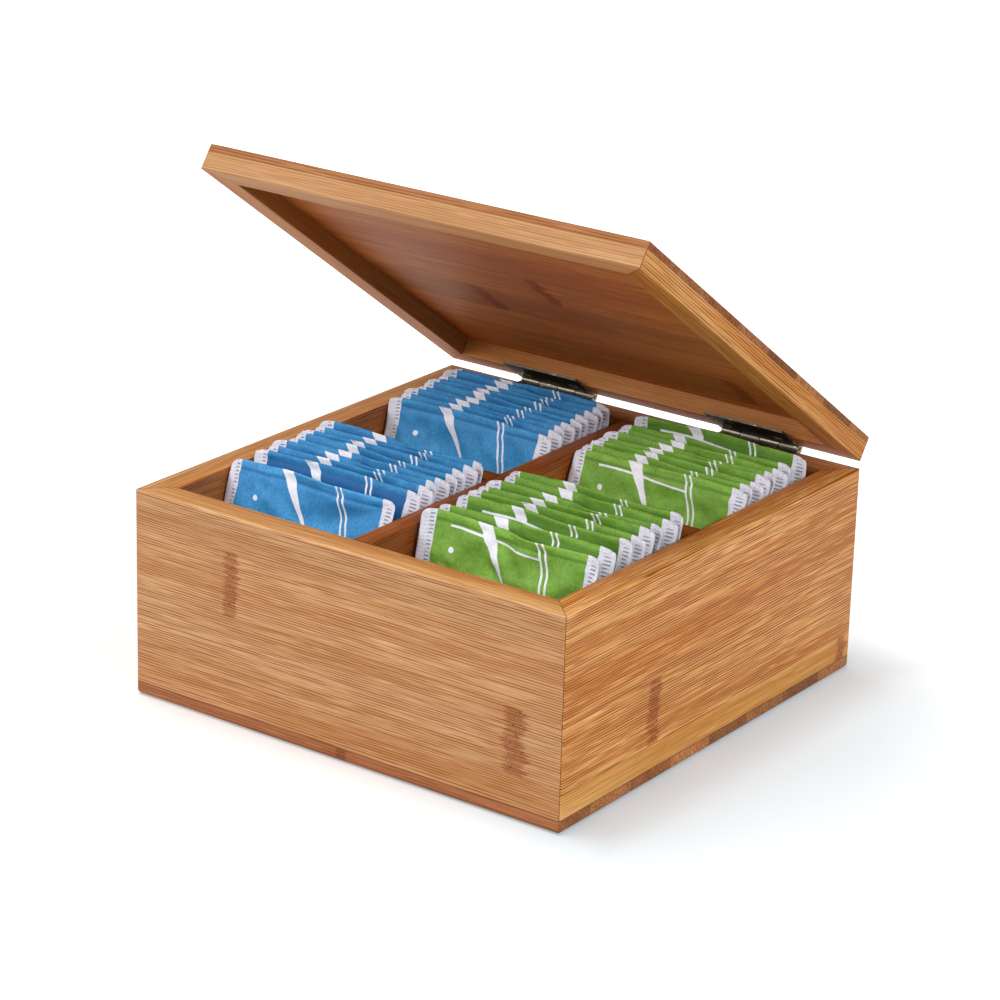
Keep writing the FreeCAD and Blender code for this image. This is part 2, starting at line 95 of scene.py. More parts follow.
class Value:
    """A number socket of a material. Arithmetic on it adds Math nodes."""

    def __init__(self, graph: "Graph", socket: bpy.types.NodeSocket) -> None:
        """Wrap a socket of the graph."""
        self.graph = graph
        self.socket = socket

    def __add__(self, other: Operand) -> "Value":
        """Return self + other."""
        return self.graph.math("ADD", self, other)

    __radd__ = __add__

    def __sub__(self, other: Operand) -> "Value":
        """Return self - other."""
        return self.graph.math("SUBTRACT", self, other)

    def __rsub__(self, other: Operand) -> "Value":
        """Return other - self."""
        return self.graph.math("SUBTRACT", other, self)

    def __mul__(self, other: Operand) -> "Value":
        """Return self * other."""
        return self.graph.math("MULTIPLY", self, other)

    __rmul__ = __mul__

    def __truediv__(self, other: Operand) -> "Value":
        """Return self / other."""
        return self.graph.math("DIVIDE", self, other)

    def __abs__(self) -> "Value":
        """Return the absolute value."""
        return self.graph.math("ABSOLUTE", self)

    def floor(self) -> "Value":
        """Return the whole number at or below."""
        return self.graph.math("FLOOR", self)

    def fraction(self) -> "Value":
        """Return the part above the whole number."""
        return self.graph.math("FRACT", self)

    def higher(self, other: Operand) -> "Value":
        """Return the larger of the two."""
        return self.graph.math("MAXIMUM", self, other)

    def step(self, start: float, end: float) -> "Value":
        """Return a smooth step: 0 before start, 1 after end; start may be the larger."""
        flip = start > end
        low, high = (end, start) if flip else (start, end)
        node = self.graph.add("ShaderNodeMapRange", {"interpolation_type": "SMOOTHSTEP"},
                              {"Value": self, "From Min": low, "From Max": high,
                               "To Min": float(flip), "To Max": float(not flip)})
        return Value(self.graph, node.outputs["Result"])

    def band(self, middle: Operand, half_width: float, soft: float) -> "Value":
        """Return 1 within half_width of the middle, falling smoothly to 0 over soft."""
        return abs(self - middle).step(half_width + soft, half_width)


class Graph:
    """The node tree of one material."""

    def __init__(self, name: str) -> None:
        """Make an empty material of this name."""
        self.material = bpy.data.materials.new(name)
        self.material.use_nodes = True
        self.tree = self.material.node_tree
        self.tree.nodes.clear()
        self._places: bpy.types.Node | None = None

    def add(self, kind: str, settings: dict[str, Any] | None = None,
            inputs: dict[Any, Any] | None = None) -> bpy.types.Node:
        """Add a node.

        Args:
            kind: the node's type.
            settings: properties, set first; "stops" is a ramp's list of (position, colour).
            inputs: a Value to link or a plain value for each socket, by name or number.

        Returns:
            The node.
        """
        node = self.tree.nodes.new(kind)
        for key, setting in (settings or {}).items():
            if key == "stops":
                self._set_stops(node, setting)
            else:
                setattr(node, key, setting)
        for key, value in (inputs or {}).items():
            if isinstance(value, Value):
                self.tree.links.new(value.socket, node.inputs[key])
            else:
                node.inputs[key].default_value = value
        return node

    @staticmethod
    def _set_stops(node: bpy.types.Node, stops: Sequence[tuple[float, Colour]]) -> None:
        """Give a colour ramp its stops."""
        elements = node.color_ramp.elements
        while len(elements) < len(stops):
            elements.new(1.0)
        for element, (position, colour) in zip(elements, stops):
            element.position = position
            element.color = (*colour, 1.0)

    def math(self, operation: str, *operands: Operand) -> Value:
        """Return the result of a Math node."""
        node = self.add("ShaderNodeMath", {"operation": operation}, dict(enumerate(operands)))
        return Value(self, node.outputs[0])

    def coordinate(self, kind: str) -> Value:
        """Return "Object" or "Normal", both in the frame, or "UV", on the flat pattern."""
        if self._places is None:
            self._places = self.add("ShaderNodeTexCoord")
        return Value(self, self._places.outputs[kind])

    def split(self, vector: Value) -> tuple[Value, Value, Value]:
        """Return the three numbers of a vector."""
        node = self.add("ShaderNodeSeparateXYZ", inputs={0: vector})
        x, y, z = (Value(self, node.outputs[index]) for index in range(3))
        return x, y, z

    def join(self, x: Operand, y: Operand, z: Operand) -> Value:
        """Return a vector of three numbers."""
        return Value(self, self.add("ShaderNodeCombineXYZ", inputs={0: x, 1: y, 2: z}).outputs[0])

    def noise(self, point: Value, scale: float = 1.0, detail: float = 2.0,
              roughness: float = 0.5) -> Value:
        """Return fractal noise from 0 to 1."""
        node = self.add("ShaderNodeTexNoise", inputs={
            "Vector": point, "Scale": scale, "Detail": detail, "Roughness": roughness})
        return Value(self, node.outputs[0])

    def chance(self, x: Operand, y: Operand, z: Operand) -> tuple[Value, Value, Value]:
        """Return three random numbers from 0 to 1 that are fixed by x, y and z."""
        node = self.add("ShaderNodeTexWhiteNoise", {"noise_dimensions": "3D"},
                        {"Vector": self.join(x, y, z)})
        return self.split(Value(self, node.outputs["Color"]))

    def mix(self, factor: Operand, first: Any, second: Any, mode: str = "MIX") -> Value:
        """Return a mix of two colours."""
        def colour(item: Any) -> Any:
            return item if isinstance(item, Value) else (*item, 1.0)
        node = self.add("ShaderNodeMix", {"data_type": "RGBA", "blend_type": mode},
                        {0: factor, 6: colour(first), 7: colour(second)})
        return Value(self, node.outputs[2])

    def tint(self, factor: Operand, colour: Value, by: Any) -> Value:
        """Return a colour that is multiplied by another, as far as the factor goes."""
        return self.mix(factor, colour, self.mix(1.0, colour, by, "MULTIPLY"))

    def ramp(self, factor: Value, stops: Sequence[tuple[float, Colour]]) -> Value:
        """Return a colour from a ramp."""
        node = self.add("ShaderNodeValToRGB", {"stops": stops}, {0: factor})
        return Value(self, node.outputs[0])

    def bump(self, height: Value, depth: float, strength: float = 1.0) -> Value:
        """Return a normal for a height from 0 to 1 that stands this deep."""
        node = self.add("ShaderNodeBump", inputs={
            "Height": height, "Distance": depth, "Strength": strength})
        return Value(self, node.outputs[0])

    def finish(self, **inputs: Any) -> bpy.types.Material:
        """Close the tree with a Principled shader whose sockets are named with underscores."""
        named = {key.replace("_", " "): value for key, value in inputs.items()}
        shader = self.add("ShaderNodeBsdfPrincipled", inputs=named)
        self.close(shader.outputs[0])
        return self.material

    def close(self, socket: bpy.types.NodeSocket) -> None:
        """Link a shader to the material's output."""
        output = self.add("ShaderNodeOutputMaterial")
        self.tree.links.new(socket, output.inputs["Surface"])


# ---- Finishes ----------------------------------------------------


STRIP_TONES = ((0.0, (0.86, 0.84, 0.82)), (0.5, (0.99, 0.99, 0.99)), (1.0, (1.10, 1.09, 1.06)))
BLOCK_TONES = ((0.0, (0.58, 0.52, 0.48)), (0.5, (0.95, 0.95, 0.95)), (1.0, (1.30, 1.45, 1.55)))
YELLOWER = (1.10, 1.22, 1.10)
REDDER = (1.0, 0.88, 0.74)
NODE_BROWN = (0.69, 0.44, 0.25)
END_DOTS = (0.55, 0.55, 0.55)
SPECK = (0.120, 0.040, 0.014)
GLUE = (0.10, 0.035, 0.012)
GLUE_HALF, GLUE_SOFT = 0.10 * MM, 0.14 * MM


@dataclass(frozen=True)
class CaneNode:
    """A joint of the cane: the brown patch that crosses one strip.

    Attributes:
        place: where it lies along the fibres.
        strip: a place across the strips that falls inside its strip.
        width: its size along the fibres.
    """

    place: float
    strip: float
    width: float


@dataclass(frozen=True)
class Tones:
    """The three colours of a piece of bamboo.

    Attributes:
        pale: colour between the fibres.
        warm: colour of the broad streaks.
        dark: colour of the fine dark fibres.
    """

    pale: Colour
    warm: Colour
    dark: Colour


@dataclass(frozen=True)
class Bamboo:
    """Varnished bamboo: strips of split cane glued side by side.

    Attributes:
        name: name of the material.
        grain: direction of the fibres.
        across: direction in which the strips lie side by side.
        strip_start: one edge between two strips.
        tones: colours of the cane.
        strip_width: width of a strip.
        cane_nodes: the joints of the cane that show.
        ply_split: distance from the middle at which the inner ply begins, if there are two.
        inner_tint: colour that the inner ply is multiplied by.
        hollow_tint: colour that the faces towards the inside are multiplied by: painted shade on
            the walls' inner faces, painted warm light on a ceiling's underside.
        seed: number that sets the random choices apart.
        lid: the turn of the lid, for a board of the lid.
        mitre: place of the corner joints' crossing, if the board has mitred ends.
        seam: height of a dark joint along the board, if there is one.
        contrast: strength of the fine fibres.
        end_tint: colour that the end grain is multiplied by.
        yellow_strip: a place across the strips that falls inside a yellower strip, if any.
        gloss: strength of the varnish's reflection; 0.5 is plain varnish.
        ceiling: whether its hollow face is the one that looks down.
        rim_tint: colour that the upper and lower faces are multiplied by, if they differ: painted
            light and shade on those faces.
        edge_tint: colour that the narrow edges along the grain are multiplied by, if they differ:
            painted shade and sheen.
    """

    name: str
    grain: Axis
    across: Axis
    strip_start: float
    tones: Tones
    strip_width: float = 22.3 * MM
    cane_nodes: tuple[CaneNode, ...] = ()
    ply_split: float | None = None
    inner_tint: Colour = (0.90, 0.80, 0.66)
    hollow_tint: Colour = (0.62, 0.50, 0.40)
    seed: float = 0.0
    lid: "LidTurn | None" = None
    mitre: float | None = None
    seam: float | None = None
    contrast: float = 1.0
    end_tint: Colour = (0.80, 0.70, 0.62)
    yellow_strip: float | None = None
    gloss: float = 0.32
    ceiling: bool = False
    rim_tint: Colour | None = None
    edge_tint: Colour | None = None

    def material(self) -> bpy.types.Material:
        """Return the material."""
        g = Graph(self.name)
        point, normal = g.coordinate("Object"), g.coordinate("Normal")
        if self.lid is not None:
            point, normal = self.lid.undo(g, point), self.lid.undo_direction(g, normal)
        place, facing = g.split(point), g.split(normal)
        side = next(axis for axis in Axis if axis not in (self.grain, self.across))
        along, across, third = place[self.grain], place[self.across], place[side]
        strip = ((across - self.strip_start) / self.strip_width).floor()
        inner: Operand = 0.0
        if self.ply_split is not None:
            inner = abs(third).step(self.ply_split + 0.1 * MM, self.ply_split - 0.1 * MM)
        tone, hue, shift = g.chance(strip, inner, self.seed)

        slide = shift * 3.0
        sway = g.noise(g.join(along * 9.0 + slide, across * 40.0, third * 40.0), detail=1.0) - 0.5
        lane = across + sway * (1.4 * MM)
        hair, fine, broad = (
            g.noise(g.join(along * stretch + slide, lane * pitch, third * pitch), detail=detail)
            for stretch, pitch, detail in ((70.0, 3000.0, 1.0), (36.0, 1500.0, 1.0),
                                           (7.0, 170.0, 1.5)))
        bundles = self._bundles(g, along + slide, lane, third, 0.88 * MM, 0.14).higher(
            self._bundles(g, along + slide, lane, third, 0.48 * MM, 0.13) * 0.50)
        lines = bundles * (0.60 + hair.step(0.36, 0.60) * 0.40) + fine.step(0.50, 0.68) * 0.16

        colour = g.mix(broad.step(0.36, 0.66), self.tones.pale, self.tones.warm)
        if self.yellow_strip is not None:
            index = math.floor((self.yellow_strip - self.strip_start) / self.strip_width)
            yellow = strip.band(index, 0.1, 0.2)
            lines = lines * (1.0 - yellow * 0.6)
            colour = g.tint(yellow * 0.85, colour, YELLOWER)
        colour = g.mix(lines * self.contrast, colour, self.tones.dark)
        # Painted glints: light flecks on the fibres that stand in for highlights of the varnish.
        glint = hair.step(0.48, 0.32) * fine.step(0.54, 0.38)
        colour = g.mix(glint * (0.55 * self.contrast), colour,
                       tuple(min(1.0, part * 1.15 + 0.045) for part in self.tones.pale))
        colour = g.mix(1.0, colour, g.ramp(tone, STRIP_TONES), "MULTIPLY")
        colour = g.tint(hue.step(0.45, 1.0) * 0.6, colour, REDDER)
        colour = self._face_tints(g, colour, facing, side, third, inner)

        for mark in self.cane_nodes:
            brown, speck = self._cane_mark(g, mark, place, hair, fine)
            colour = g.mix(speck * 0.85, g.tint(brown, colour, NODE_BROWN), SPECK)
        edge = abs(((across - self.strip_start) / self.strip_width).fraction() - 0.5)
        colour = g.mix(edge.step(0.490, 0.499) * 0.40, colour, self.tones.dark)
        joint = self._joints(g, point)
        if joint is not None:
            colour = g.mix(joint * 0.80, colour, GLUE)
        ends = abs(facing[self.grain]).step(0.60, 0.85)
        block = g.ramp((strip * 0.5).fraction() * 1.1 + hue * 0.45, BLOCK_TONES)
        cut = g.mix(1.0, block, self.end_tint, "MULTIPLY")
        colour = g.tint(ends, colour, g.tint(fine.step(0.44, 0.62) * 0.7, cut, END_DOTS))

        relief = hair * 0.35 + fine * 0.65 - lines * 0.3
        return g.finish(Base_Color=colour, Roughness=0.34 + hair * 0.18 + ends * 0.15,
                        Specular_IOR_Level=self.gloss,
                        Normal=g.bump(relief, 0.05 * MM, 0.6))

    def _face_tints(self, g: Graph, colour: Value, facing: Sequence[Value], side: Axis,
                    third: Value, inner: Operand) -> Value:
        """Return the colour with the inner ply's tint and the painted light and shade of the hollow
        face, rims and edges.
        """
        if self.ply_split is not None:
            colour = g.tint(inner, colour, self.inner_tint)
        # Painted shade on the inner faces; on a ceiling, painted warm light on the face that looks
        # down.
        if self.ceiling:
            colour = g.tint(facing[side].step(-0.5, -0.8), colour, self.hollow_tint)
        elif self.ply_split is not None:
            colour = g.tint((facing[side] * third).step(-0.01, -0.04), colour, self.hollow_tint)
        # Painted light and shade on the upper and lower faces.
        if self.rim_tint is not None:
            colour = g.tint(abs(facing[Axis.Z]).step(0.6, 0.9), colour, self.rim_tint)
        # Painted shade and sheen on the narrow edges along the grain.
        if self.edge_tint is not None:
            colour = g.tint(abs(facing[self.across]).step(0.20, 0.45), colour, self.edge_tint)
        return colour

    def _bundles(self, g: Graph, along: Value, lane: Value, third: Value, pitch: float,
                 half_width: float) -> Value:
        """Return the dark fibre bundles: fine lines that start and end along the grain."""
        drift = g.noise(g.join(along * 7.0, lane * 110.0, third * 110.0), detail=1.0)
        place = (lane + third * 0.93) / pitch + drift * 2.0
        number = place.floor()
        spot = g.join(along * 36.0 + number * 3.1, number * 7.77, self.seed)
        present = g.noise(spot, detail=1.0)
        return place.fraction().band(0.5, half_width, 0.16) * present.step(0.30, 0.54)

    def _cane_mark(self, g: Graph, mark: CaneNode, place: Sequence[Value], hair: Value,
                   fine: Value) -> tuple[Value, Value]:
        """Return how brown a cane node is, and where its dark specks lie."""
        along, across = place[self.grain], place[self.across]
        index = math.floor((mark.strip - self.strip_start) / self.strip_width)
        middle = self.strip_start + (index + 0.5) * self.strip_width
        inside = across.band(middle, self.strip_width / 2 - 0.2 * MM, 0.3 * MM)
        ragged = g.noise(g.join(along * 60.0, across * 1100.0, self.seed), detail=2.0) - 0.5
        wander = g.noise(g.join(0.0, across * 170.0, self.seed + 4.0), detail=1.0) - 0.5
        shifted = along + (ragged * 0.9 + wander * 0.7) * mark.width
        core = shifted.band(mark.place, mark.width * 0.26, mark.width * 0.20)
        roots = shifted.band(mark.place - mark.width * 0.45, mark.width * 0.30, mark.width * 0.75)
        brown = core.higher(roots * hair.step(0.62, 0.42) * 0.45)
        grit = g.noise(g.join(along * 1800.0, across * 2200.0, self.seed), detail=1.0)
        specks = core * grit.step(0.51, 0.60) * 0.62
        for column, (aside, pitch) in enumerate(((-0.06, 3.3 * MM), (0.17, 4.4 * MM))):
            cell = across / pitch
            first, second, chosen = g.chance(cell.floor(), column, self.seed + mark.place)
            off_along = along - (first - 0.5) * (mark.width * 0.22) - (
                mark.place + aside * mark.width)
            off_across = (cell.fraction() - 0.5 - (second - 0.5) * 0.5) * pitch
            away = g.math("SQRT", off_along * off_along + off_across * off_across)
            specks = specks.higher(away.step(0.50 * MM, 0.30 * MM) * chosen.step(0.10, 0.40))
        grainy = fine.step(0.36, 0.56) * 0.25 + 0.65
        return brown * grainy * inside, specks * inside

    def _joints(self, g: Graph, point: Value) -> Value | None:
        """Return where a dark glue line shows, or None where the board has none."""
        x, y, z = g.split(point)
        joint: Value | None = None
        if self.mitre is not None:
            joint = (abs(x) - abs(y + self.mitre)).band(0.0, GLUE_HALF, GLUE_SOFT)
        if self.seam is not None:
            line = z.band(self.seam, GLUE_HALF, GLUE_SOFT)
            joint = line if joint is None else joint.higher(line)
        return joint


@dataclass(frozen=True)
class LidTurn:
    """The turn of the lid about its hinge pins.

    Attributes:
        pin: a point on the axis of the pins.
        opening: angle from the shut lid.
    """

    pin: Vector
    opening: float

    def undo(self, g: Graph, point: Value) -> Value:
        """Return the point as it lies on the shut lid, measured from the pins."""
        node = g.add("ShaderNodeMapping", {"vector_type": "TEXTURE"},
                     {"Vector": point, "Location": tuple(self.pin),
                      "Rotation": (-self.opening, 0.0, 0.0)})
        return Value(g, node.outputs[0])

    def undo_direction(self, g: Graph, direction: Value) -> Value:
        """Return a direction as it lies on the shut lid."""
        node = g.add("ShaderNodeMapping", {"vector_type": "TEXTURE"},
                     {"Vector": direction, "Rotation": (-self.opening, 0.0, 0.0)})
        return Value(g, node.outputs[0])


@dataclass(frozen=True)
class Bronze:
    """Darkened bronze plating with worn patches, lighter on the knuckles and with a painted
    highlight along the free edge of a leaf.

    Attributes:
        name: name of the material.
        dark: colour of the plating.
        bright: colour of the worn patches, of the lighter knuckles and of the painted highlight on
            the free edge.
        wear: share of the surface that is worn, from 0 to 1.
        lid: the turn of the lid, for a part that turns with it.
        reach: distance from the pins to the free edge of a leaf.
    """

    name: str
    dark: Colour
    bright: Colour
    wear: float
    lid: LidTurn | None = None
    reach: float = PIN.y - LEAF_FRONT

    def material(self) -> bpy.types.Material:
        """Return the material."""
        g = Graph(self.name)
        point = g.coordinate("Object")
        mottle = g.noise(point, scale=620.0, detail=2.0, roughness=0.55)
        blotch = g.noise(point, scale=240.0, detail=1.0)
        if self.lid is not None:
            y = g.split(self.lid.undo(g, point))[1]
        else:
            y = g.split(point)[1] - PIN.y
        free = y.step(-self.reach + 0.9 * MM, -self.reach + 0.3 * MM)
        knuckle = y.step(-1.7 * MM, -1.2 * MM)
        worn = (mottle * 0.6 + blotch * 0.4).step(0.68 - self.wear * 0.3, 0.80 - self.wear * 0.3)
        # Painted highlight along the free edge, and lighter knuckles, on top of the worn patches.
        worn = worn.higher(free * mottle * 0.26).higher(knuckle * (0.10 + mottle * 0.6))
        colour = g.mix(worn, self.dark, self.bright)
        return g.finish(Base_Color=colour, Metallic=0.75, Roughness=0.44 - worn * 0.16,
                        Normal=g.bump(mottle * 0.5 + blotch * 0.5, 0.12 * MM, 0.7))


@dataclass(frozen=True)
class PrintedPaper:
    """Matte paper with white sealed ends and a plain white pattern of petals, rings and dots.

    The pattern lies on the sachet's flat outline: u across its width, v up its height.

    Attributes:
        paper: the colour of the printing.
        width: width of the flat sachet.
        height: height of the flat sachet.
        seal: width of each white end.
        pressed: how much painted shade the paper carries: a deeper ink, and a darker band below the
            fold where the sachet in front shades it.
        crimp_pitch: distance between two ribs of a sealed end.
    """

    paper: PaperColour
    width: float
    height: float
    seal: float
    pressed: float
    crimp_pitch: float = 1.25 * MM

    def material(self) -> bpy.types.Material:
        """Return the material."""
        g = Graph(f"paper_{self.paper.name.lower()}_{round(self.pressed * 100)}")
        u, v, _ = g.split(g.coordinate("UV"))
        x = (u - 0.5) * self.width
        y = v * self.height
        point = g.coordinate("Object")
        mottle = g.noise(point, scale=1150.0, detail=3.0, roughness=0.7)
        cloud = g.noise(point, scale=160.0, detail=2.0)

        tone = mottle.step(0.36, 0.66) * 0.62 + cloud.step(0.35, 0.70) * 0.38
        # Painted shade: the ink is deeper on the sachets behind the first, and darker along the top
        # fold's crease and in a band below the fold, where the sachet in front shades it.
        ink = g.mix(tone, self._between(0.20 - 0.20 * self.pressed),
                    self._between(0.74 - 0.36 * self.pressed))
        fold = y.band(self.height - FOLD_DOWN, 0.15 * MM, 0.9 * MM)
        shade = y.band(self.height - 8.2 * MM, 3.6 * MM, 3.4 * MM)
        ink = g.mix((fold * 0.65).higher(shade * self.pressed), ink, self.paper.deep)
        white = g.mix(mottle.step(0.30, 0.70), (0.74, 0.74, 0.82), (0.88, 0.88, 0.95))
        ends = g.mix(1.0, white, (0.86, 0.86, 0.89), "MULTIPLY")
        printed = g.mix(self._pattern(g, x, y) * 0.96, ink, white)

        inside = abs(x).step(self.width / 2 - self.seal + 0.1 * MM,
                             self.width / 2 - self.seal - 0.1 * MM)
        colour = g.mix(inside, self._sealed_end(g, x, y, ends), printed)
        crimp = (y / self.crimp_pitch).fraction()
        relief = mottle * 0.45 + crimp.band(0.5, 0.20, 0.25) * (1.0 - inside) * 0.55
        return g.finish(Base_Color=colour, Roughness=0.55 + mottle * 0.15,
                        Specular_IOR_Level=0.28,
                        Normal=g.bump(relief, 0.10 * MM, 0.6))

    def _between(self, share: float) -> Colour:
        """Return a tone between the deep and the light one."""
        deep, light = self.paper.deep, self.paper.light
        return tuple(low + (high - low) * (0.35 + share) for low, high in zip(deep, light))

    def _sealed_end(self, g: Graph, x: Value, y: Value, white: Value) -> Value:
        """Return the colour of a sealed end: white, with a ladder of small grey ticks."""
        inner = self.width / 2 - self.seal
        left = x.step(0.1 * MM, -0.1 * MM)
        ladder = (left * abs(x).band(inner + 1.3 * MM, 0.75 * MM, 0.12 * MM)).higher(
            (1.0 - left) * abs(x).band(inner + 2.9 * MM, 1.15 * MM, 0.12 * MM))
        ticks = (y / self.crimp_pitch).fraction().band(0.5, 0.15, 0.10)
        worn = g.noise(g.join(x * 300.0, y * 420.0, 0.0), detail=1.0).step(0.30, 0.55)
        return g.mix(ladder * ticks * worn * 0.80, white, (0.13, 0.13, 0.17))

    def _pattern(self, g: Graph, x: Value, y: Value) -> Value:
        """Return where the white pattern shows."""
        down = self.height - y
        taper = (1.0 - down / (21.0 * MM)).higher(0.0)
        petal = (abs(x + 10.5 * MM - down * 0.62) - taper * (2.6 * MM)).step(0.12 * MM, -0.12 * MM)
        shapes = petal * down.step(21.0 * MM, 20.6 * MM)
        curve = down * (1.0 - down / (52.0 * MM)) * 0.34
        for offset, end in ((11.0, 36.0), (13.0, 27.0)):
            thread = (x - offset * MM - curve).band(0.0, 0.32 * MM, 0.10 * MM)
            shapes = shapes.higher(thread * down.step(end * MM, (end - 0.3) * MM))
        if self.paper is PaperColour.GREEN:
            wave = g.math("SINE", x * 95.0) * (0.9 * MM)
            stroke = (down - 5.0 * MM - wave).band(0.0, 0.30 * MM, 0.10 * MM)
            shapes = shapes.higher(stroke * x.band(-5.0 * MM, 18.0 * MM, 0.3 * MM))
        for ring_x, ring_y, radius in ((-17.0, 25.0, 7.0), (-17.0, 25.0, 4.4), (3.0, 40.0, 5.0)):
            away = self._distance(g, x - ring_x * MM, down - ring_y * MM)
            shapes = shapes.higher(away.band(radius * MM, 0.32 * MM, 0.10 * MM))
        for dot_x, dot_y in ((-21.0, 11.5), (20.0, 23.0), (7.0, 25.5), (-3.0, 30.0)):
            away = self._distance(g, x - dot_x * MM, down - dot_y * MM)
            shapes = shapes.higher(away.step(1.05 * MM, 0.90 * MM))
        return shapes

    @staticmethod
    def _distance(g: Graph, x: Value, y: Value) -> Value:
        """Return the distance of a point from zero."""
        return g.math("SQRT", x * x + y * y)


# ---- Modelling by hand -------------------------------------------


class Bench:
    """Modelling steps that every new piece uses."""

    @staticmethod
    def clear() -> None:
        """Deselect everything."""
        bpy.ops.object.select_all(action="DESELECT")

    @staticmethod
    def only(piece: bpy.types.Object) -> None:
        """Select one piece alone and make it active."""
        Bench.clear()
        piece.select_set(True)
        bpy.context.view_layer.objects.active = piece

    @staticmethod
    def settle(piece: bpy.types.Object) -> None:
        """Move the piece's place, turn and size into its mesh."""
        Bench.only(piece)
        bpy.ops.object.transform_apply(location=True, rotation=True, scale=True)

    @staticmethod
    def edit(piece: bpy.types.Object, action: Callable[[], Any]) -> None:
        """Do one action in edit mode with everything selected."""
        Bench.only(piece)
        bpy.ops.object.mode_set(mode="EDIT")
        bpy.ops.mesh.select_all(action="SELECT")
        action()
        bpy.ops.object.mode_set(mode="OBJECT")

    @staticmethod
    def apply_modifiers(piece: bpy.types.Object) -> None:
        """Apply every modifier of the piece."""
        Bench.only(piece)
        for modifier in list(piece.modifiers):
            bpy.ops.object.modifier_apply(modifier=modifier.name)


# ---- Sachets -----------------------------------------------------


@dataclass(frozen=True)
class Crease:
    """A valley that is pushed into one sheet of the paper.

    Attributes:
        x, z: where it starts.
        turn: its direction, as an angle from +X towards +Z.
        length, width, depth: its size.
        sheet: -1 for the front sheet, 1 for the back sheet.
    """

    x: float
    z: float
    turn: float
    length: float
    width: float
    depth: float
    sheet: int

    def at(self, x: float, z: float) -> float:
        """Return the depth of the crease at a point of its sheet."""
        over_x, over_z = x - self.x, z - self.z
        along = over_x * math.cos(self.turn) + over_z * math.sin(self.turn)
        aside = over_z * math.cos(self.turn) - over_x * math.sin(self.turn)
        if along < 0.0 or along > self.length:
            return 0.0
        fade = math.sin(math.pi * min(1.0, along / self.length + 0.28))
        return self.depth * max(0.0, fade) * math.exp(-abs(aside / self.width) ** 1.3)


